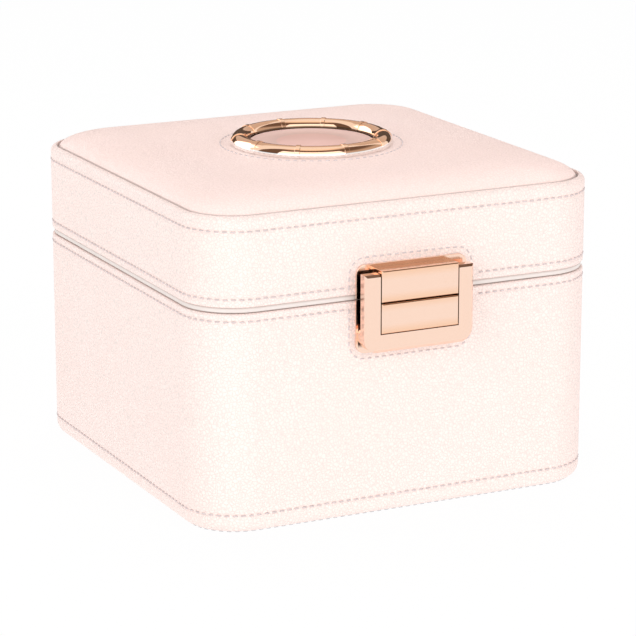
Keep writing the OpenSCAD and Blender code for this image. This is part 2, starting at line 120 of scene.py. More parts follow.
# The seam lies a little below the solids' rim, and the painted edge comes down to it
SEAM_DROP = 0.5 * MM
SEAM_Z = RIM_Z - SEAM_DROP
BAND_LOW_Z = band_low.z - 0.575 * MM
BAND_HIGH_Z = band_high.z
BAND_IN = HALF - band_high.x
BAND_EDGE = 0.25 * MM

# Stitching: the thread, the dip that it pulls into the leather, and where the rows run
PITCH = 3.12 * MM
DASH = 1.95 * MM
THREAD_R = 0.33 * MM
THREAD_SIDES = 6
THREAD_TIP = 0.3 * MM
TIP_SHARE = 0.45
TIP_SINK = 0.75 * THREAD_R
CHANNEL_W = 1.5 * MM
CHANNEL_DEEP = 0.35 * MM
CHANNEL_STEPS = ((1, 0), (0.55, 0.3), (0.2, 1))
THREAD_IN = CHANNEL_DEEP - 0.7 * THREAD_R
PATH_CORNER_STEPS = 24
LID_UPPER_ROW_Z = 116.2 * MM
LID_LOWER_ROW_Z = 90.7 * MM
BODY_UPPER_ROW_Z = 82.3 * MM
BODY_LOWER_ROW_Z = 7.5 * MM
EDGE_ROW_IN = 3.5 * MM
EDGE_ROW_Z = 0.45 * MM
PATCH_HALF_W = 26 * MM
PATCH_LOW_Z = 62.6 * MM
PATCH_HIGH_Z = 101.7 * MM
PATCH_R = 6.5 * MM
RING_ROW_R = 36.3 * MM

# Ring ornament and the bare middle of the plaque inside it
ring_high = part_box("ring")[1]
RING_TUBE_R = 3.5 * MM
RING_SEGMENTS = 200
RING_TUBE_SEGMENTS = 28
RING_EDGE = 0.1 * MM
RING_SMOOTH = 50
COLLARS = 10
COLLAR_OUT = 0.3 * MM
RING_R = ring_high.y - COLLAR_OUT - RING_TUBE_R
RING_Z = PAD_TOP_Z + 0.9 * MM
MEDAL_R = 13.8 * MM


def clear_selection():
    """Deselects every object."""
    bpy.ops.object.select_all(action="DESELECT")


def take_up(piece):
    """Selects one piece alone and makes it the active one."""
    clear_selection()
    piece.select_set(True)
    bpy.context.view_layer.objects.active = piece


def shape(name):
    """Names the primitive just added and opens it in edit mode."""
    piece = bpy.context.object
    piece.name = name
    piece.data.name = name
    bpy.ops.object.mode_set(mode="EDIT")
    bpy.ops.mesh.select_mode(type="VERT")
    return piece


def pick(piece, kind, test):
    """Selects only the verts, edges or faces that pass the test."""
    bpy.ops.mesh.select_mode(type=kind)
    bpy.ops.mesh.select_all(action="DESELECT")
    cage = bmesh.from_edit_mesh(piece.data)
    parts = {"VERT": cage.verts, "EDGE": cage.edges, "FACE": cage.faces}[kind]
    for part in parts:
        if test(part):
            part.select_set(True)
    cage.select_flush_mode()
    bmesh.update_edit_mesh(piece.data)


def close_up():
    """Merges doubles and turns the faces outwards."""
    bpy.ops.mesh.select_all(action="SELECT")
    bpy.ops.mesh.remove_doubles(threshold=MERGE_GAP)
    bpy.ops.mesh.normals_make_consistent(inside=False)


def settle(smooth=40):
    """Leaves edit mode and puts the piece's place into its mesh."""
    bpy.ops.object.mode_set(mode="OBJECT")
    bpy.ops.object.transform_apply(location=True, rotation=True, scale=True)
    bpy.ops.object.shade_smooth_by_angle(angle=math.radians(smooth))


def soften_edges(piece, width, segments=2, angle=35):
    """Rounds the edges that turn by more than the angle."""
    bevel = piece.modifiers.new("soft_edges", "BEVEL")
    bevel.width = width
    bevel.segments = segments
    bevel.limit_method = "ANGLE"
    bevel.angle_limit = math.radians(angle)
    bpy.ops.object.modifier_apply(modifier=bevel.name)


def smooth_form(piece, levels):
    """Divides the faces and rounds the whole form."""
    subdivision = piece.modifiers.new("smooth_form", "SUBSURF")
    subdivision.levels = levels
    subdivision.render_levels = levels
    bpy.ops.object.modifier_apply(modifier=subdivision.name)


def fit(piece, body, material, slot, *nodes):
    """Gives a piece its finish, its body and the nodes that it stands for."""
    piece.data.materials.clear()
    piece.data.materials.append(material)
    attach(piece, body)
    if nodes:
        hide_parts(*nodes)


def arc(centre_x, centre_z, radius, start, end, steps):
    """Points of a round stretch of a section, by its angles in degrees."""
    angles = [math.radians(start + (end - start) * i / steps) for i in range(steps + 1)]
    return [(centre_x + radius * math.cos(a), centre_z + radius * math.sin(a)) for a in angles]


def stitch_channel(z):
    """The dip that a row of stitches pulls into an upright face."""
    lower = [(-deep * CHANNEL_DEEP, z - out * CHANNEL_W) for out, deep in CHANNEL_STEPS]
    upper = [(-deep * CHANNEL_DEEP, z + out * CHANNEL_W) for out, deep in reversed(CHANNEL_STEPS)]
    return lower + upper


def draw_line(name, points):
    """Draws a line of edges from point to point."""
    clear_selection()
    bpy.ops.mesh.primitive_plane_add(size=MM, location=(0, 0, 0))
    piece = shape(name)
    bpy.ops.mesh.merge(type="CENTER")
    here = Vector(points[0])
    bpy.ops.transform.translate(value=here)
    for point in points[1:]:
        step = Vector(point) - here
        bpy.ops.mesh.extrude_vertices_move(TRANSFORM_OT_translate={"value": step})
        here = Vector(point)
    bpy.ops.mesh.select_all(action="SELECT")
    return piece


def draw_section(name, points):
    """Draws a closed section: x counts outwards from the box's face, z is the height."""
    piece = draw_line(name, [(HALF + x, 0, z) for x, z in [*points, points[0]]])
    bpy.ops.mesh.remove_doubles(threshold=MERGE_GAP)
    return piece


def run_round():
    """Runs the selected section round the box's outline, side by side and corner by corner."""
    flat = HALF - CORNER_R
    bpy.ops.mesh.select_all(action="SELECT")
    for turn in range(4):
        along = Vector((-math.sin(turn * math.pi / 2), math.cos(turn * math.pi / 2), 0))
        outward = Vector((along.y, -along.x, 0))
        run = flat if turn == 0 else 2 * flat
        bpy.ops.mesh.extrude_edges_move(TRANSFORM_OT_translate={"value": along * run})
        bpy.ops.mesh.spin(
            steps=CORNER_STEPS,
            angle=-math.pi / 2,
            center=outward * flat + along * flat,
            axis=(0, 0, 1),
        )
    bpy.ops.mesh.extrude_edges_move(TRANSFORM_OT_translate={"value": (0, flat, 0)})
    close_up()


def dressed_copy(node, name, edge, segments=2, angle=35):
    """A merged copy of a node's mesh with its edges softened."""
    piece = bpy.data.objects.new(name, frame["nodes"][node].data.copy())
    bpy.context.scene.collection.objects.link(piece)
    take_up(piece)
    bpy.ops.mesh.customdata_custom_splitnormals_clear()
    bpy.ops.object.mode_set(mode="EDIT")
    bpy.ops.mesh.select_all(action="SELECT")
    bpy.ops.mesh.remove_doubles(threshold=MERGE_GAP)
    bpy.ops.mesh.dissolve_limited(angle_limit=math.radians(LEVEL_ANGLE))
    bpy.ops.object.mode_set(mode="OBJECT")
    if edge > 0:
        soften_edges(piece, edge, segments, angle)
    bpy.ops.object.shade_smooth_by_angle(angle=math.radians(angle))
    flatten = piece.modifiers.new("flat_faces", "WEIGHTED_NORMAL")
    flatten.weight = FLAT_WEIGHT
    flatten.keep_sharp = True
    bpy.ops.object.modifier_apply(modifier=flatten.name)
    return piece


# Finishes


def node_group(name, inputs, outputs):
    """A shared effect with named float inputs, placed by a vector, and float outputs."""
    group = bpy.data.node_groups.new(name, "ShaderNodeTree")
    group.interface.new_socket(name="Vector", in_out="INPUT", socket_type="NodeSocketVector")
    for label in inputs:
        group.interface.new_socket(name=label, in_out="INPUT", socket_type="NodeSocketFloat")
    for label in outputs:
        group.interface.new_socket(name=label, in_out="OUTPUT", socket_type="NodeSocketFloat")
    return group, group.nodes.new("NodeGroupInput"), group.nodes.new("NodeGroupOutput")


def add_node(tree, kind, **settings):
    """A node with its settings or its inputs' plain values given by name."""
    node = tree.nodes.new(kind)
    for key, value in settings.items():
        if hasattr(node, key):
            setattr(node, key, value)
        else:
            node.inputs[key.replace("_", " ").title()].default_value = value
    return node


def math_node(tree, operation, first, second):
    """A Math node on two sockets or plain numbers."""
    node = tree.nodes.new("ShaderNodeMath")
    node.operation = operation
    for socket, value in zip(node.inputs, (first, second)):
        if isinstance(value, (int, float)):
            socket.default_value = value
        else:
            tree.links.new(value, socket)
    return node.outputs[0]


def spread(tree, value, low, high, to_low, to_high):
    """Maps a value from one range to another, smoothly and within its ends."""
    node = tree.nodes.new("ShaderNodeMapRange")
    node.interpolation_type = "SMOOTHSTEP"
    tree.links.new(value, node.inputs["Value"])
    node.inputs["From Min"].default_value = low
    node.inputs["From Max"].default_value = high
    node.inputs["To Min"].default_value = to_low
    node.inputs["To Max"].default_value = to_high
    return node.outputs["Result"]


def place_of(tree, axis):
    """A coordinate of the piece's own frame."""
    place = tree.nodes.new("ShaderNodeTexCoord")
    split = tree.nodes.new("ShaderNodeSeparateXYZ")
    tree.links.new(place.outputs["Object"], split.inputs["Vector"])
    return split.outputs[axis]


def off_axis(tree):
    """How far a point is from the upright line through the middle of the box."""
    squares = [math_node(tree, "POWER", place_of(tree, axis), 2) for axis in "XY"]
    return math_node(tree, "SQRT", math_node(tree, "ADD", *squares), 0)


# Leather grain: scales against that of the grains, reaches against the width of one
GRAIN_SCALE = 760
WOBBLE_SCALE = 0.7
WOBBLE_REACH = 0.9
FINE_SCALE = 2.6
FINE_HEIGHT = 0.35
BROAD_SCALE = 0.03
GRAIN_SLOPE = 0.3
GRAIN_TOP = 1.3
GRAIN_ROUGH = 0.42
CREASE_SLOPE = 0.16
CREASE_ROUGH = 0.6

# The stretch of a noise that makes a mask
MOTTLE_NOISE = (0.3, 0.7)
CLOUD_NOISE = (0.35, 0.7)
SCRATCH_NOISE = (0.55, 0.75)
BRUSHED_SHARE = 0.7


def pebble_grain_group():
    """Pebbled leather: rounded grains with fine creases between them."""
    tree, start, end = node_group("pebble_grain", ["Scale"], ["Height", "Crease", "Mottle"])
    link = tree.links.new
    wobble = add_node(tree, "ShaderNodeTexNoise", detail=2.0)
    link(start.outputs["Vector"], wobble.inputs["Vector"])
    link(math_node(tree, "MULTIPLY", start.outputs["Scale"], WOBBLE_SCALE), wobble.inputs["Scale"])
    shift = tree.nodes.new("ShaderNodeVectorMath")
    shift.operation = "SCALE"
    link(wobble.outputs["Color"], shift.inputs[0])
    link(math_node(tree, "DIVIDE", WOBBLE_REACH, start.outputs["Scale"]), shift.inputs["Scale"])
    moved = tree.nodes.new("ShaderNodeVectorMath")
    moved.operation = "ADD"
    link(start.outputs["Vector"], moved.inputs[0])
    link(shift.outputs[0], moved.inputs[1])
    cells = add_node(tree, "ShaderNodeTexVoronoi", feature="DISTANCE_TO_EDGE")
    link(moved.outputs[0], cells.inputs["Vector"])
    link(start.outputs["Scale"], cells.inputs["Scale"])
    fine = add_node(tree, "ShaderNodeTexNoise", detail=3.0)
    link(start.outputs["Vector"], fine.inputs["Vector"])
    link(math_node(tree, "MULTIPLY", start.outputs["Scale"], FINE_SCALE), fine.inputs["Scale"])
    broad = add_node(tree, "ShaderNodeTexNoise", detail=2.0)
    link(start.outputs["Vector"], broad.inputs["Vector"])
    link(math_node(tree, "MULTIPLY", start.outputs["Scale"], BROAD_SCALE), broad.inputs["Scale"])
    grains = spread(tree, cells.outputs["Distance"], 0, GRAIN_SLOPE, 0, 1)
    pores = math_node(tree, "MULTIPLY", fine.outputs["Fac"], FINE_HEIGHT)
    link(math_node(tree, "ADD", grains, pores), end.inputs["Height"])
    link(spread(tree, cells.outputs["Distance"], 0, CREASE_SLOPE, 1, 0), end.inputs["Crease"])
    link(spread(tree, broad.outputs["Fac"], *MOTTLE_NOISE, 0, 1), end.inputs["Mottle"])
    return tree


def nap_group():
    """Velvet: short pile and the broad marks where it is brushed over."""
    tree, start, end = node_group("velvet_nap", ["Pile", "Brush"], ["Height", "Shade"])
    link = tree.links.new
    pile = add_node(tree, "ShaderNodeTexNoise", detail=4.0)
    link(start.outputs["Vector"], pile.inputs["Vector"])
    link(start.outputs["Pile"], pile.inputs["Scale"])
    brush = add_node(tree, "ShaderNodeTexNoise", detail=2.0, distortion=1.2)
    link(start.outputs["Vector"], brush.inputs["Vector"])
    link(start.outputs["Brush"], brush.inputs["Scale"])
    brushed = spread(tree, brush.outputs["Fac"], *MOTTLE_NOISE, 0, BRUSHED_SHARE)
    upright = math_node(tree, "MULTIPLY", pile.outputs["Fac"], 1 - BRUSHED_SHARE)
    link(pile.outputs["Fac"], end.inputs["Height"])
    link(math_node(tree, "ADD", brushed, upright), end.inputs["Shade"])
    return tree


def handling_group():
    """Polish: faint clouding and hairlines that break up a shine."""
    tree, start, end = node_group(
        "handling_marks", ["Cloud", "Hairline"], ["Cloudiness", "Scratch"]
    )
    link = tree.links.new
    cloud = add_node(tree, "ShaderNodeTexNoise", detail=3.0, distortion=0.6)
    link(start.outputs["Vector"], cloud.inputs["Vector"])
    link(start.outputs["Cloud"], cloud.inputs["Scale"])
    hairline = add_node(tree, "ShaderNodeTexNoise", detail=2.0, distortion=3.0)
    link(start.outputs["Vector"], hairline.inputs["Vector"])
    link(start.outputs["Hairline"], hairline.inputs["Scale"])
    link(spread(tree, cloud.outputs["Fac"], *CLOUD_NOISE, 0, 1), end.inputs["Cloudiness"])
    link(spread(tree, hairline.outputs["Fac"], *SCRATCH_NOISE, 0, 1), end.inputs["Scratch"])
    return tree


PEBBLE_GRAIN = pebble_grain_group()
VELVET_NAP = nap_group()
HANDLING_MARKS = handling_group()


def finish(name, group, values):
    """A new material with one shared effect placed on the piece's own coordinates."""
    material = bpy.data.materials.new(name)
    material.use_nodes = True
    tree = material.node_tree
    shader = tree.nodes["Principled BSDF"]
    place = tree.nodes.new("ShaderNodeTexCoord")
    effect = tree.nodes.new("ShaderNodeGroup")
    effect.node_tree = group
    tree.links.new(place.outputs["Object"], effect.inputs["Vector"])
    for label, value in values.items():
        effect.inputs[label].default_value = value
    return material, tree, shader, effect


def blend_colours(tree, factor, first, second):
    """A colour between two, by a mask."""
    mix = tree.nodes.new("ShaderNodeMix")
    mix.data_type = "RGBA"
    tree.links.new(factor, mix.inputs["Factor"])
    for label, colour in (("A", first), ("B", second)):
        socket = [s for s in mix.inputs if s.name == label and s.type == "RGBA"][0]
        if isinstance(colour, tuple):
            socket.default_value = (*colour, 1)
        else:
            tree.links.new(colour, socket)
    return [s for s in mix.outputs if s.type == "RGBA"][0]


def emboss(tree, shader, height, distance, strength):
    """Fine relief from a height."""
    bump = tree.nodes.new("ShaderNodeBump")
    bump.inputs["Distance"].default_value = distance
    bump.inputs["Strength"].default_value = strength
    tree.links.new(height, bump.inputs["Height"])
    tree.links.new(bump.outputs["Normal"], shader.inputs["Normal"])


def leather_finish(name, colour, crease, mottle, tuck_shade=None):
    """Grained leather; painted shade may darken it below a level, as (shade, full below, none
    above).
    """
    material, tree, shader, grain = finish(name, PEBBLE_GRAIN, {"Scale": GRAIN_SCALE})
    toned = blend_colours(tree, grain.outputs["Mottle"], colour, mottle)
    tinted = blend_colours(tree, grain.outputs["Crease"], toned, crease)
    # Painted shade below a level, standing in for the shadow in the groove
    if tuck_shade:
        shade, full, none = tuck_shade
        depth = spread(tree, place_of(tree, "Z"), full, none, 1, 0)
        tinted = blend_colours(tree, depth, tinted, shade)
    tree.links.new(tinted, shader.inputs["Base Color"])
    rough = spread(tree, grain.outputs["Height"], 0, GRAIN_TOP, CREASE_ROUGH, GRAIN_ROUGH)
    tree.links.new(rough, shader.inputs["Roughness"])
    shader.inputs["Specular IOR Level"].default_value = 0.6
    emboss(tree, shader, grain.outputs["Height"], distance=0.16 * MM, strength=0.85)
    return material


def velvet_finish(name, colour, brushed):
    """Short velvet, paler where its pile is brushed over."""
    material, tree, shader, nap = finish(name, VELVET_NAP, {"Pile": 2600, "Brush": 45})
    shade = blend_colours(tree, nap.outputs["Shade"], colour, brushed)
    tree.links.new(shade, shader.inputs["Base Color"])
    shader.inputs["Roughness"].default_value = 0.92
    shader.inputs["Sheen Weight"].default_value = 0.35
    shader.inputs["Sheen Roughness"].default_value = 0.4
    emboss(tree, shader, nap.outputs["Height"], distance=0.25 * MM, strength=0.5)
    return material


# Metal: how softly the painted recess shade ends, and the middle of a panel left without painted
# edge reflection, as a share of its height
RECESS_SHADE_FADE = 0.2 * MM
RECESS_SHADE_LOW_FADE = 2 * MM
PANEL_EVEN = 0.15


def metal_finish(name, colour, worn, smooth, cloudy, recess_shade=None, panels=None, foot=None):
    """Polished metal.

    A recess may get painted shade, as (colour, half width, bottom, top, front). Stacked panels
    may get a painted darker reflection towards their edges, as (colour, bottom, height of one). A
    ring's foot may get painted light, a painted shadow within and a pale painted reflection
    without, as (colour within, colour without, radius, full below, none above).
    """
    material, tree, shader, marks = finish(name, HANDLING_MARKS, {"Cloud": 90, "Hairline": 900})
    tone = blend_colours(tree, marks.outputs["Scratch"], colour, worn)
    # Painted shade in a recess behind the front, darkest within the given width and heights
    if recess_shade:
        dark, half_w, low, high, front = recess_shade
        across = math_node(tree, "ABSOLUTE", place_of(tree, "X"), 0)
        sides = spread(tree, across, half_w, half_w + RECESS_SHADE_FADE, 1, 0)
        base = spread(tree, place_of(tree, "Z"), low - RECESS_SHADE_LOW_FADE, low, 0, 1)
        head = spread(tree, place_of(tree, "Z"), high, high + RECESS_SHADE_FADE, 1, 0)
        depth = spread(tree, place_of(tree, "Y"), front - RECESS_SHADE_FADE, front, 0, 1)
        inside = math_node(tree, "MULTIPLY", math_node(tree, "MULTIPLY", sides, depth), base)
        tone = blend_colours(tree, math_node(tree, "MULTIPLY", inside, head), tone, dark)
    # Painted reflection: each stacked panel is darker towards its top and bottom edges
    if panels:
        deep, low, tall = panels
        above = math_node(tree, "SUBTRACT", place_of(tree, "Z"), low)
        share = math_node(tree, "FRACT", math_node(tree, "DIVIDE", above, tall), 0)
        off_middle = math_node(tree, "ABSOLUTE", math_node(tree, "SUBTRACT", share, 0.5), 0)
        edges = spread(tree, off_middle, PANEL_EVEN, 0.5, 0, 1)
        tone = blend_colours(tree, edges, tone, deep)
    # Painted light at a ring's foot: a painted shadow within, a pale painted reflection without
    if foot:
        within, without, radius, full, none = foot
        out = spread(tree, off_axis(tree), radius - MM, radius + MM, 0, 1)
        side = blend_colours(tree, out, within, without)
        foot_light_mask = spread(tree, place_of(tree, "Z"), full, none, 1, 0)
        tone = blend_colours(tree, foot_light_mask, tone, side)
    tree.links.new(tone, shader.inputs["Base Color"])
    rough = spread(tree, marks.outputs["Cloudiness"], 0, 1, smooth, cloudy)
    tree.links.new(rough, shader.inputs["Roughness"])
    shader.inputs["Metallic"].default_value = 1
    return material


# How softly the border of a round piece starts
BORDER_FADE = 0.3 * MM


def matt_finish(name, colour, fleck, grain_size, rough, border=None, shadow=None):
    """A plain flecked finish.

    A round piece may have a border, as (colour, radius). A piece may get painted shade upwards,
    as (colour, none below, full above).
    """
    material, tree, shader, nap = finish(name, VELVET_NAP, {"Pile": grain_size, "Brush": 60})
    shade = blend_colours(tree, nap.outputs["Shade"], colour, fleck)
    if border:
        edge, radius = border
        out = spread(tree, off_axis(tree), radius, radius + BORDER_FADE, 0, 1)
        shade = blend_colours(tree, out, shade, edge)
    if shadow:
        dark, none, full = shadow
        high_up = spread(tree, place_of(tree, "Z"), none, full, 0, 1)
        shade = blend_colours(tree, high_up, shade, dark)
    tree.links.new(shade, shader.inputs["Base Color"])
    shader.inputs["Roughness"].default_value = rough
    emboss(tree, shader, nap.outputs["Height"], distance=0.15 * MM, strength=0.4)
    return material


# Leather and velvet; the padded top carries painted shade where it tucks into the groove
BLUSH = (0.98, 0.765, 0.71)
BLUSH_MOTTLE = (0.985, 0.78, 0.73)
SIDE_CREASE = (0.75, 0.645, 0.605)
PAD_CREASE = (0.90, 0.705, 0.655)
PAD_TUCK_SHADE = ((0.64, 0.51, 0.475), LID_TOP_Z - 0.1 * MM, LID_TOP_Z + 0.25 * MM)
BLUSH_LEATHER = leather_finish("blush_leather", BLUSH, SIDE_CREASE, BLUSH_MOTTLE)
PAD_LEATHER = leather_finish("pad_leather", BLUSH, PAD_CREASE, BLUSH_MOTTLE, PAD_TUCK_SHADE)
CREAM_VELVET = velvet_finish("cream_velvet", (0.84, 0.75, 0.67), (0.90, 0.83, 0.76))

# Metal: the clasp's base plates get painted shade behind the frame's arms, and its panels a
# painted darker reflection at their edges
ROSE_GOLD_TONES = ((0.985, 0.716, 0.578), (0.97, 0.68, 0.54), 0.10, 0.16)
ROSE_GOLD = metal_finish("rose_gold", *ROSE_GOLD_TONES)
CLASP_RECESS_SHADE = ((0.05, 0.03, 0.025), 22.6 * MM, 69 * MM, 93.6 * MM, FRONT_Y - 1.1 * MM)
CLASP_GOLD = metal_finish("clasp_gold", *ROSE_GOLD_TONES, recess_shade=CLASP_RECESS_SHADE)
CLASP_PANEL_EDGE_REFLECTION = ((0.96, 0.62, 0.43), 73.55 * MM, 12.07 * MM)
PANEL_GOLD = metal_finish("panel_gold", *ROSE_GOLD_TONES, panels=CLASP_PANEL_EDGE_REFLECTION)
# The ring's foot: painted shadow within, where it meets the plaque, and a pale painted reflection
# without
RING_FOOT_PAINTED_LIGHT = (
    (0.16, 0.11, 0.075),
    (0.97, 0.93, 0.90),
    RING_R,
    PAD_TOP_Z + 1.5 * MM,
    PAD_TOP_Z + 2.1 * MM,
)
DEEP_ROSE_GOLD = metal_finish(
    "deep_rose_gold", (0.975, 0.65, 0.455), (0.955, 0.61, 0.415), 0.05, 0.09, foot=RING_FOOT_PAINTED_LIGHT
)
SPRING_STEEL = metal_finish("spring_steel", (0.62, 0.62, 0.63), (0.5, 0.5, 0.51), 0.25, 0.4)
MIRROR = metal_finish("mirror", (0.93, 0.94, 0.94), (0.91, 0.92, 0.92), 0.012, 0.03)

# Thread, edge paint, felt, board and lacquer; the painted edge carries painted shade where the
# hem's shadow falls
MAUVE_THREAD = matt_finish("mauve_thread", (0.67, 0.575, 0.57), (0.60, 0.515, 0.51), 3000, 0.6)
GREY_THREAD = matt_finish("grey_thread", (0.56, 0.54, 0.56), (0.48, 0.46, 0.48), 3000, 0.6)
HEM_SHADOW = ((0.60, 0.52, 0.485), BAND_HIGH_Z - 0.75 * MM, BAND_HIGH_Z - 0.45 * MM)
EDGE_PAINT = matt_finish(
    "edge_paint", (0.74, 0.675, 0.64), (0.70, 0.635, 0.60), 900, 0.45, shadow=HEM_SHADOW
)
GREY_FELT = matt_finish("grey_felt", (0.50, 0.48, 0.47), (0.60, 0.58, 0.57), 1800, 0.95)
GREY_BOARD = matt_finish("grey_board", (0.36, 0.31, 0.29), (0.42, 0.37, 0.35), 700, 0.9)
PLAQUE_BORDER = ((0.73, 0.49, 0.435), MEDAL_R)
PINK_LACQUER = matt_finish(
    "pink_lacquer", (0.82, 0.51, 0.45), (0.79, 0.485, 0.425), 1500, 0.42, border=PLAQUE_BORDER
)

# Leather on the body: rolled under at the foot, turned in at the rim
body_section = [
    (-TURN_UNDER, COVER_LIFT),
    *arc(-BASE_ROLL_R, COVER_LIFT + BASE_ROLL_R, BASE_ROLL_R, -90, 0, 8),
    *stitch_channel(BODY_LOWER_ROW_Z),
    *stitch_channel(BODY_UPPER_ROW_Z),
    *arc(-RIM_R, SEAM_Z - RIM_R, RIM_R, 0, 90, 5),
    (-TURN_IN, SEAM_Z),
    (-TURN_IN, RIM_Z - LEATHER_T),
    (-LEATHER_T, RIM_Z - LEATHER_T),
    *arc(-BASE_ROLL_R, COVER_LIFT + BASE_ROLL_R, BASE_ROLL_R - LEATHER_T, 0, -90, 6),
    (-TURN_UNDER, COVER_LIFT + LEATHER_T),
]
body_leather = draw_section("body_leather", body_section)
run_round()
settle()
fit(body_leather, "body", BLUSH_LEATHER, "leather_blush", "body_cover")

# Leather on the lid's side: turned in at the hem, rolled over into the groove
lid_section = [
    (-TURN_IN, HEM_Z),
    *arc(-RIM_R, HEM_Z + RIM_R, RIM_R, -90, 0, 5),
    *stitch_channel(LID_LOWER_ROW_Z),
    *stitch_channel(LID_UPPER_ROW_Z),
    *arc(-LID_ROLL_R, LID_TOP_Z - LID_ROLL_R, LID_ROLL_R, 0, 90, 8),
    (-GROOVE_IN, LID_TOP_Z - GROOVE_EDGE),
    (-GROOVE_IN, PAD_FOOT_Z),
    (-LEATHER_T, LID_TOP_Z - LID_ROLL_R),
    (-LEATHER_T, HEM_Z + LEATHER_T),
    (-TURN_IN, HEM_Z + LEATHER_T),
]
lid_leather = draw_section("lid_leather", lid_section)
run_round()
settle()
fit(lid_leather, "lid", BLUSH_LEATHER, "leather_blush", "lid_cover")

# Painted edge of the lid's board, between the hem and the seam
band_section = [
    (-TURN_IN, band_low.z),
    (-TURN_IN + SEAM_DROP, BAND_LOW_Z),
    (-BAND_IN - BAND_EDGE, BAND_LOW_Z),
    (-BAND_IN, BAND_LOW_Z + BAND_EDGE),
    (-BAND_IN, BAND_HIGH_Z - BAND_EDGE),
    (-BAND_IN - BAND_EDGE, BAND_HIGH_Z),
    (-TURN_IN, BAND_HIGH_Z),
]
rim_edge = draw_section("rim_edge", band_section)
run_round()
settle(30)
fit(rim_edge, "lid", EDGE_PAINT, "rim_grey", "lid_rim_band")

# Padded top: a tucked edge, a quick full rise and a long crown to the flat under the ring
PAD_CORNER_R = CORNER_R - (HALF - PAD_HALF)
PAD_FLAT_HALF = 38.2 * MM
PAD_RINGS = 16
PAD_CROWDING = 2.2
PAD_FULLNESS = 4
PAD_EASE = 0.55
PAD_PUFF = 0.2 * MM
PAD_FOOT_EDGE = 0.8 * MM
clear_selection()
bpy.ops.mesh.primitive_plane_add(size=2 * PAD_HALF, location=(0, 0, PAD_FOOT_Z))
lid_pad = shape("lid_pad")
bpy.ops.mesh.bevel(offset=PAD_CORNER_R, segments=CORNER_STEPS, affect="VERTICES")


def crown(run):
    """Height of the padded top at a share of its run from the edge to the flat middle."""
    rise = (1 - (1 - run) ** PAD_FULLNESS) ** PAD_EASE
    return PAD_FOOT_Z + (PAD_TOP_Z - PAD_FOOT_Z) * rise + PAD_PUFF * math.sin(math.pi * rise)


reach, level = PAD_HALF, PAD_FOOT_Z
for ring in range(1, PAD_RINGS + 1):
    run = (ring / PAD_RINGS) ** PAD_CROWDING
    next_reach = PAD_HALF + (PAD_FLAT_HALF - PAD_HALF) * run
    next_level = crown(run)
    bpy.ops.mesh.extrude_region_move(
        TRANSFORM_OT_translate={"value": (0, 0, next_level - level)}
    )
    share = next_reach / reach
    bpy.ops.transform.resize(value=(share, share, 1), center_override=(0, 0, 0))
    reach, level = next_reach, next_level
close_up()
pick(lid_pad, "FACE", lambda face: face.normal.z < -FACING)
bpy.ops.mesh.inset(thickness=PAD_FOOT_EDGE)
settle(60)
smooth_form(lid_pad, 1)
fit(lid_pad, "lid", PAD_LEATHER, "leather_blush", "lid_top_cover", "lid_foam")


# Stitching: one thread dash, repeated along a path and laid on the leather
def thread_dash(name, sink):
    """A dash along x whose tips dip into the leather in the direction of sink."""
    clear_selection()
    bpy.ops.mesh.primitive_cylinder_add(
        vertices=THREAD_SIDES,
        radius=THREAD_R,
        depth=DASH - 2 * THREAD_TIP,
        rotation=(0, math.pi / 2, 0),
    )
    dash = shape(name)
    for side in (-1, 1):
        pick(dash, "FACE", lambda face: side * face.normal.z > FACING)
        bpy.ops.mesh.extrude_region_move(
            TRANSFORM_OT_translate={"value": Vector((side * THREAD_TIP, 0, 0)) + sink}
        )
        bpy.ops.transform.resize(value=(1, TIP_SHARE, TIP_SHARE))
    settle(60)
    return dash


def stitch_path(half_w, half_d, radius, z):
    """A rounded rectangle as a closed curve."""
    clear_selection()
    bpy.ops.mesh.primitive_plane_add(size=2, location=(0, 0, z), scale=(1, 1, 1))
    path = shape("stitch_path")
    bpy.ops.transform.resize(value=(half_w, half_d, 1))
    bpy.ops.mesh.bevel(offset=radius, segments=PATH_CORNER_STEPS, affect="VERTICES")
    bpy.ops.mesh.delete(type="ONLY_FACE")
    settle()
    bpy.ops.object.convert(target="CURVE")
    curve = bpy.context.object
    curve.data.twist_mode = "Z_UP"
    return curve


def sew(name, path, sink):
    """A row of dashes along a closed path, as one mesh."""
    length = path.data.splines[0].calc_length()
    count = round(length / PITCH)
    row = thread_dash(name, sink)
    repeat = row.modifiers.new("repeat", "ARRAY")
    repeat.count = count
    repeat.use_relative_offset = False
    repeat.use_constant_offset = True
    repeat.constant_offset_displace = (length / count, 0, 0)
    follow = row.modifiers.new("follow", "CURVE")
    follow.object = path
    follow.deform_axis = "POS_X"
    bpy.ops.object.modifier_apply(modifier=repeat.name)
    bpy.ops.object.modifier_apply(modifier=follow.name)
    bpy.data.objects.remove(path)
    return row


def unpick(row, test):
    """Takes out the stitches of which any point passes the test."""
    take_up(row)
    bpy.ops.object.mode_set(mode="EDIT")
    pick(row, "VERT", lambda vert: test(vert.co))
    bpy.ops.mesh.select_linked()
    bpy.ops.mesh.delete(type="VERT")
    bpy.ops.object.mode_set(mode="OBJECT")


INTO_SIDE = Vector((0, TIP_SINK, 0))
INTO_TOP = Vector((0, 0, -TIP_SINK))


def behind_patch(point):
    """True on the front, where the clasp's own stitches go round."""
    return point.y < 0 and abs(point.x) < PATCH_HALF_W + THREAD_R


def side_row(name, body, z, inset, thread, broken):
    """Stitches round the four sides, broken at the clasp or not."""
    half = HALF - inset
    row = sew(name, stitch_path(half, half, CORNER_R - inset, z), INTO_SIDE)
    if broken:
        unpick(row, behind_patch)
    fit(row, body, thread, "leather_blush")


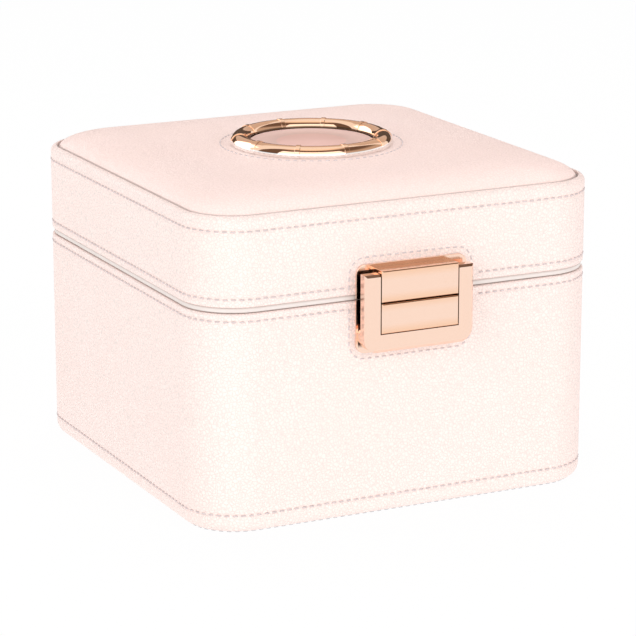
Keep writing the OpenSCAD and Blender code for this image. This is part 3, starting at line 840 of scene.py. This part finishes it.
side_row("stitches_lid_upper", "lid", LID_UPPER_ROW_Z, THREAD_IN, MAUVE_THREAD, False)
side_row("stitches_lid_lower", "lid", LID_LOWER_ROW_Z, THREAD_IN, MAUVE_THREAD, True)
side_row("stitches_body_upper", "body", BODY_UPPER_ROW_Z, THREAD_IN, MAUVE_THREAD, True)
side_row("stitches_body_lower", "body", BODY_LOWER_ROW_Z, THREAD_IN, MAUVE_THREAD, False)
side_row("stitches_foot", "body", EDGE_ROW_Z, EDGE_ROW_IN, GREY_THREAD, False)

ring_path = stitch_path(RING_ROW_R, RING_ROW_R, RING_ROW_R, PAD_TOP_Z)
ring_row = sew("stitches_ring", ring_path, INTO_TOP)
fit(ring_row, "lid", MAUVE_THREAD, "leather_blush")


def patch_row(name, body, dropped):
    """The stitches round the clasp that belong to one side of the seam."""
    half_h = (PATCH_HIGH_Z - PATCH_LOW_Z) / 2
    row = sew(name, stitch_path(PATCH_HALF_W, half_h, PATCH_R, 0), INTO_TOP)
    take_up(row)
    row.rotation_euler = (math.pi / 2, 0, 0)
    row.location = (0, FRONT_Y, PATCH_LOW_Z + half_h)
    bpy.ops.object.transform_apply(location=True, rotation=True, scale=True)
    unpick(row, dropped)
    fit(row, body, MAUVE_THREAD, "leather_blush")


patch_row("stitches_clasp_lid", "lid", lambda point: point.z < HEM_Z + RIM_R)
patch_row("stitches_clasp_body", "body", lambda point: point.z > SEAM_Z - RIM_R)

# Ring ornament: a polished tube with collars, cut flat where it sits on the lid
clear_selection()
bpy.ops.mesh.primitive_torus_add(
    major_radius=RING_R,
    minor_radius=RING_TUBE_R,
    major_segments=RING_SEGMENTS,
    minor_segments=RING_TUBE_SEGMENTS,
    location=(0, 0, RING_Z),
)
ring = shape("ring_polished")


def on_collar(face):
    """True on the two segments beside each collar's middle."""
    middle = face.calc_center_median()
    turn = math.degrees(math.atan2(middle.y, middle.x)) - 90
    spacing = 360 / COLLARS
    return abs((turn + spacing / 2) % spacing - spacing / 2) < 360 / RING_SEGMENTS


pick(ring, "FACE", on_collar)
bpy.ops.mesh.extrude_region_shrink_fatten(TRANSFORM_OT_shrink_fatten={"value": COLLAR_OUT})
bpy.ops.mesh.select_all(action="SELECT")
bpy.ops.mesh.bisect(
    plane_co=(0, 0, PAD_TOP_Z), plane_no=(0, 0, 1), clear_inner=True, use_fill=True
)
close_up()
settle(RING_SMOOTH)
soften_edges(ring, RING_EDGE, angle=RING_SMOOTH)
bpy.ops.object.shade_smooth_by_angle(angle=math.radians(RING_SMOOTH))
fit(ring, "lid", DEEP_ROSE_GOLD, "rose_gold", "ring")

# Plaque inside the ring, bare, with a lowered border between its rim and its middle
disc_low, disc_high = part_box("ring_disc")
PLAQUE_SIDES = 96
PLAQUE_RIM = 1.2 * MM
PLAQUE_SLOPE = 0.3 * MM
PLAQUE_DEEP = 0.2 * MM
PLAQUE_EDGE = 0.12 * MM
clear_selection()
bpy.ops.mesh.primitive_cylinder_add(
    vertices=PLAQUE_SIDES,
    radius=disc_high.x,
    depth=disc_high.z - disc_low.z,
    location=(0, 0, (disc_low.z + disc_high.z) / 2),
)
plaque = shape("plaque")
pick(plaque, "FACE", lambda face: face.normal.z > FACING)
bpy.ops.mesh.inset(thickness=PLAQUE_RIM)
bpy.ops.mesh.inset(thickness=PLAQUE_SLOPE, depth=-PLAQUE_DEEP)
bpy.ops.mesh.inset(thickness=disc_high.x - PLAQUE_RIM - PLAQUE_SLOPE - MEDAL_R)
bpy.ops.mesh.inset(thickness=PLAQUE_SLOPE, depth=PLAQUE_DEEP)
settle()
soften_edges(plaque, PLAQUE_EDGE)
fit(plaque, "lid", PINK_LACQUER, "disc_pink", "ring_disc")

# Metal fittings: copies of the nodes with their edges eased by so many millimetres
METAL_PIECES = {
    "clasp_frame": ("body", 0.22, CLASP_GOLD),
    "push_button": ("button", 0.12, PANEL_GOLD),
    "clasp_lid_plate": ("lid", 0.2, CLASP_GOLD),
    "clasp_tongue": ("lid", 0.12, PANEL_GOLD),
    "hinge_left_body_leaf": ("body", 0.12, ROSE_GOLD),
    "hinge_right_body_leaf": ("body", 0.12, ROSE_GOLD),
    "hinge_left_lid_leaf": ("lid", 0.12, ROSE_GOLD),
    "hinge_right_lid_leaf": ("lid", 0.12, ROSE_GOLD),
    "hinge_left_pin": ("body", 0.12, ROSE_GOLD),
    "hinge_right_pin": ("body", 0.12, ROSE_GOLD),
    "hinge_body_screws": ("body", 0, ROSE_GOLD),
    "hinge_lid_screws": ("lid", 0, ROSE_GOLD),
    "clasp_frame_nuts": ("body", 0.12, ROSE_GOLD),
    "clasp_lid_nuts": ("lid", 0.12, ROSE_GOLD),
    "mirror_frame": ("lid", 0.3, ROSE_GOLD),
}
for node, (body, edge, gold) in METAL_PIECES.items():
    piece = dressed_copy(node, node + "_bright", edge * MM)
    fit(piece, body, gold, "rose_gold", node)

# Leaf spring behind the button, on a mesh of its own. The real one flattens against its seat as
# the button goes in; this script leaves its shape as it is.
SPRING_EDGE = 0.05 * MM
spring = dressed_copy("button_spring", "button_spring_leaf", SPRING_EDGE)
fit(spring, "body", SPRING_STEEL, "spring_steel", "button_spring")
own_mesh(spring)

# Velvet over the inside boards, with the edges rounded by so many millimetres of cloth
CLOTH_STEPS = 3
VELVET_PIECES = {
    "body_lining": ("body", 0.4),
    "divider_along": ("body", 0.9),
    "divider_across": ("body", 0.9),
    "tray_rail_left": ("body", 0.9),
    "tray_rail_right": ("body", 0.9),
    "lid_lining": ("lid", 0.4),
    "tray_wall": ("tray", 0.8),
    "tray_floor": ("tray", 0.3),
    "tray_divider_along": ("tray", 0.6),
    "tray_divider_across": ("tray", 0.6),
}
for node, (body, edge) in VELVET_PIECES.items():
    piece = dressed_copy(node, node + "_velvet", edge * MM, CLOTH_STEPS)
    fit(piece, body, CREAM_VELVET, "velvet_cream", node)

# Floor pad: four crowned panels with a sewn crease under the dividers
floor_low, floor_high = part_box("floor_pad")
across_low, across_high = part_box("divider_across")
FLOOR_CORNER_R = 15.3 * MM
FLOOR_CORNER_STEPS = 8
CREASE_W = 1.6 * MM
CROWN_STEPS = ((1.5 * MM, 0.6 * MM), (5 * MM, 0.6 * MM), (5 * MM, 0.2 * MM))
clear_selection()
bpy.ops.mesh.primitive_plane_add(size=2 * floor_high.x, location=(0, 0, floor_low.z))
floor_pad = shape("floor_pad_velvet")
bpy.ops.mesh.bevel(offset=FLOOR_CORNER_R, segments=FLOOR_CORNER_STEPS, affect="VERTICES")
bpy.ops.mesh.extrude_region_move(
    TRANSFORM_OT_translate={"value": (0, 0, floor_high.z - floor_low.z)}
)
for point, normal in (
    ((0, 0, 0), (1, 0, 0)),
    ((0, (across_low.y + across_high.y) / 2, 0), (0, 1, 0)),
):
    bpy.ops.mesh.select_all(action="SELECT")
    bpy.ops.mesh.bisect(plane_co=point, plane_no=normal)
pick(floor_pad, "FACE", lambda face: face.normal.z > FACING)
bpy.ops.mesh.inset(thickness=CREASE_W, use_individual=True)
for inwards, up in CROWN_STEPS:
    bpy.ops.mesh.inset(thickness=inwards, depth=up, use_individual=True)
close_up()
settle(60)
smooth_form(floor_pad, 2)
fit(floor_pad, "body", CREAM_VELVET, "velvet_cream", "floor_pad")

# Ring rolls: soft velvet rolls, a little flat where they lie
rolls_low, rolls_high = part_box("ring_rolls")
ROLLS = 7
ROLL_GAP = 0.4 * MM
ROLL_FULL = 1.0135
ROLL_SIDES = 24
ROLL_END_R = 0.8 * MM
roll_d = rolls_high.z - rolls_low.z
roll_pitch = roll_d + ROLL_GAP
clear_selection()
bpy.ops.mesh.primitive_cylinder_add(
    vertices=ROLL_SIDES,
    radius=ROLL_FULL * roll_d / 2,
    depth=rolls_high.x - rolls_low.x,
    location=(
        (rolls_low.x + rolls_high.x) / 2,
        rolls_low.y + roll_d / 2,
        (rolls_low.z + rolls_high.z) / 2,
    ),
    rotation=(0, math.pi / 2, 0),
)
first_roll = shape("ring_roll_1")
pick(first_roll, "EDGE", lambda edge: abs(edge.verts[0].co.z - edge.verts[1].co.z) < MM)
bpy.ops.mesh.bevel(offset=ROLL_END_R, segments=CLOTH_STEPS)
settle(60)
smooth_form(first_roll, 1)
rolls = [first_roll]
for index in range(1, ROLLS):
    take_up(first_roll)
    bpy.ops.object.duplicate(linked=False)
    roll = bpy.context.object
    roll.name = "ring_roll_%d" % (index + 1)
    bpy.ops.transform.translate(value=(0, index * roll_pitch, 0))
    bpy.ops.object.transform_apply(location=True, rotation=True, scale=True)
    rolls.append(roll)
for roll in rolls:
    fit(roll, "tray", CREAM_VELVET, "velvet_cream", "ring_rolls")

# Finishes of the nodes that stay as they are
NODE_FINISHES = {
    "base_sheet": GREY_FELT,
    "base_board": GREY_BOARD,
    "body_wall": GREY_BOARD,
    "lid_wall": GREY_BOARD,
    "lid_board": GREY_BOARD,
    "mirror_glass": MIRROR,
}
for node, material in NODE_FINISHES.items():
    frame["nodes"][node].data.materials.clear()
    frame["nodes"][node].data.materials.append(material)

# Studio: pale floor, white surround, soft lamps, and cards that show only in shiny surfaces. The
# floor looks white, keeps a faint shadow and lights the foot of the box evenly.
WORLD_LIGHT = 0.62
FLOOR_SIZE = 12
FLOOR_GLOW = 0.95
FLOOR_BOUNCE = 0.2
PAPER_COLOUR = (0.93, 0.93, 0.93)
PAPER_ROUGH = 0.9


def studio_rays(tree):
    """1 for rays that should meet a plain white surround."""
    rays = tree.nodes.new("ShaderNodeLightPath")
    seen = math_node(tree, "MAXIMUM", rays.outputs["Is Camera Ray"], rays.outputs["Is Glossy Ray"])
    return math_node(tree, "MAXIMUM", seen, rays.outputs["Is Transmission Ray"])


clear_selection()
bpy.ops.mesh.primitive_plane_add(size=FLOOR_SIZE, location=(0, 0, 0))
floor = bpy.context.object
floor.name = "studio_floor"
paper = bpy.data.materials.new("white_paper")
paper.use_nodes = True
paper_tree = paper.node_tree
paper_shader = paper_tree.nodes["Principled BSDF"]
paper_shader.inputs["Base Color"].default_value = (*PAPER_COLOUR, 1)
paper_shader.inputs["Roughness"].default_value = PAPER_ROUGH
paper_glow = paper_tree.nodes.new("ShaderNodeEmission")
paper_mix = paper_tree.nodes.new("ShaderNodeMixShader")
bounced = paper_tree.nodes.new("ShaderNodeLightPath").outputs["Is Diffuse Ray"]
brighter = math_node(paper_tree, "MULTIPLY", bounced, FLOOR_BOUNCE)
paper_tree.links.new(math_node(paper_tree, "ADD", brighter, 1), paper_glow.inputs["Strength"])
viewed = math_node(paper_tree, "MULTIPLY", studio_rays(paper_tree), FLOOR_GLOW)
paper_tree.links.new(math_node(paper_tree, "MAXIMUM", viewed, bounced), paper_mix.inputs["Fac"])
paper_tree.links.new(paper_shader.outputs["BSDF"], paper_mix.inputs[1])
paper_tree.links.new(paper_glow.outputs["Emission"], paper_mix.inputs[2])
paper_surface = paper_tree.nodes["Material Output"].inputs["Surface"]
paper_tree.links.new(paper_mix.outputs["Shader"], paper_surface)
floor.data.materials.append(paper)

CARD_ROWS = 8
CARD_STEPS = 24


def card_finish(name, colour, strength):
    """A card that glows evenly."""
    material = bpy.data.materials.new(name)
    material.use_nodes = True
    tree = material.node_tree
    tree.nodes.remove(tree.nodes["Principled BSDF"])
    glow = tree.nodes.new("ShaderNodeEmission")
    glow.inputs["Color"].default_value = (*colour, 1)
    glow.inputs["Strength"].default_value = strength
    tree.links.new(glow.outputs["Emission"], tree.nodes["Material Output"].inputs["Surface"])
    return material


def card(name, material, reach, low, high, facing, turn):
    """A curved card round the box, from one angle of height to another, that only shine shows."""
    start = math.radians(facing - turn / 2)
    points = []
    for row in range(CARD_ROWS + 1):
        height = math.radians(low + (high - low) * row / CARD_ROWS)
        out = reach * math.cos(height)
        up = PAD_TOP_Z + reach * math.sin(height)
        points.append((out * math.cos(start), out * math.sin(start), up))
    piece = draw_line(name, points)
    bpy.ops.mesh.spin(
        steps=CARD_STEPS, angle=-math.radians(turn), center=(0, 0, 0), axis=(0, 0, 1)
    )
    settle()
    piece.data.materials.append(material)
    piece.visible_camera = False
    piece.visible_diffuse = False
    piece.visible_shadow = False
    piece.visible_transmission = False


# The camera's side of the room: dark, paler overhead and low on the right, in metres
ROOM_DARK = (0.16, 0.11, 0.085)
ROOM_PALE = (1.15, 0.98, 0.84)
ROOM_OVERHEAD_Z = (2.65, 3.05)
ROOM_RIGHT_X = (-0.3, 1.3)
ROOM_RIGHT_SHARE = 0.42
ROOM_LOW_Z = (1.2, 2.1)
ROOM_SIDE = card_finish("room_side", ROOM_DARK, 1)
room_tree = ROOM_SIDE.node_tree
overhead = spread(room_tree, place_of(room_tree, "Z"), *ROOM_OVERHEAD_Z, 0, 1)
rightwards = spread(room_tree, place_of(room_tree, "X"), *ROOM_RIGHT_X, 0, ROOM_RIGHT_SHARE)
low_down = spread(room_tree, place_of(room_tree, "Z"), *ROOM_LOW_Z, 1, 0)
low_right = math_node(room_tree, "MULTIPLY", rightwards, low_down)
paler = math_node(room_tree, "MAXIMUM", overhead, low_right)
room_colour = blend_colours(room_tree, paler, ROOM_DARK, ROOM_PALE)
room_tree.links.new(room_colour, room_tree.nodes["Emission"].inputs["Color"])

DARK_CARD = card_finish("dark_card", (0.11, 0.085, 0.07), 1)
BROWN_CARD = card_finish("brown_card", (0.66, 0.55, 0.48), 1)
BRIGHT_CARD = card_finish("bright_card", (1, 1, 1), 1.5)
WINDOW_CARD = card_finish("window_card", (1, 1, 1), 2.3)
card("card_room", ROOM_SIDE, reach=3, low=7, high=88, facing=-96, turn=200)
card("card_back", DARK_CARD, reach=2.4, low=-2, high=16, facing=64, turn=80)
card("card_back_high", BROWN_CARD, reach=2.6, low=15, high=52, facing=64, turn=100)
card("card_front", BRIGHT_CARD, reach=1.6, low=-4, high=44, facing=-116, turn=96)
card("card_left_back", WINDOW_CARD, reach=2.2, low=0, high=40, facing=126, turn=44)

# Surround: white where it is seen or reflected, softer as light
world = bpy.data.worlds.new("studio")
bpy.context.scene.world = world
world.use_nodes = True
world_tree = world.node_tree
world_tree.nodes.clear()
white = world_tree.nodes.new("ShaderNodeBackground")
white.inputs["Color"].default_value = (1, 1, 1, 1)
white.inputs["Strength"].default_value = 1
soft = world_tree.nodes.new("ShaderNodeBackground")
soft.inputs["Color"].default_value = (1, 1, 1, 1)
soft.inputs["Strength"].default_value = WORLD_LIGHT
which = world_tree.nodes.new("ShaderNodeMixShader")
surround = world_tree.nodes.new("ShaderNodeOutputWorld")
world_tree.links.new(studio_rays(world_tree), which.inputs["Fac"])
world_tree.links.new(soft.outputs["Background"], which.inputs[1])
world_tree.links.new(white.outputs["Background"], which.inputs[2])
world_tree.links.new(which.outputs["Shader"], surround.inputs["Surface"])


def lamp(name, place, power, size):
    """A square soft lamp turned towards the box, left out of the metal's reflections."""
    aim = Vector((0, 0, RIM_Z / 2)) - Vector(place)
    clear_selection()
    bpy.ops.object.light_add(
        type="AREA", location=place, rotation=aim.to_track_quat("-Z", "Y").to_euler()
    )
    light = bpy.context.object
    light.name = name
    light.data.energy = power
    light.data.size = size
    light.visible_glossy = False


lamp("top_lamp", (0.25, 0.55, 1.5), power=9.8, size=1.35)
lamp("front_lamp", (0.4, -1.75, 0.5), power=15.5, size=1.4)
lamp("left_lamp", (-1.65, -0.65, 0.5), power=12.3, size=1.2)

bpy.context.scene.view_settings.view_transform = "Standard"
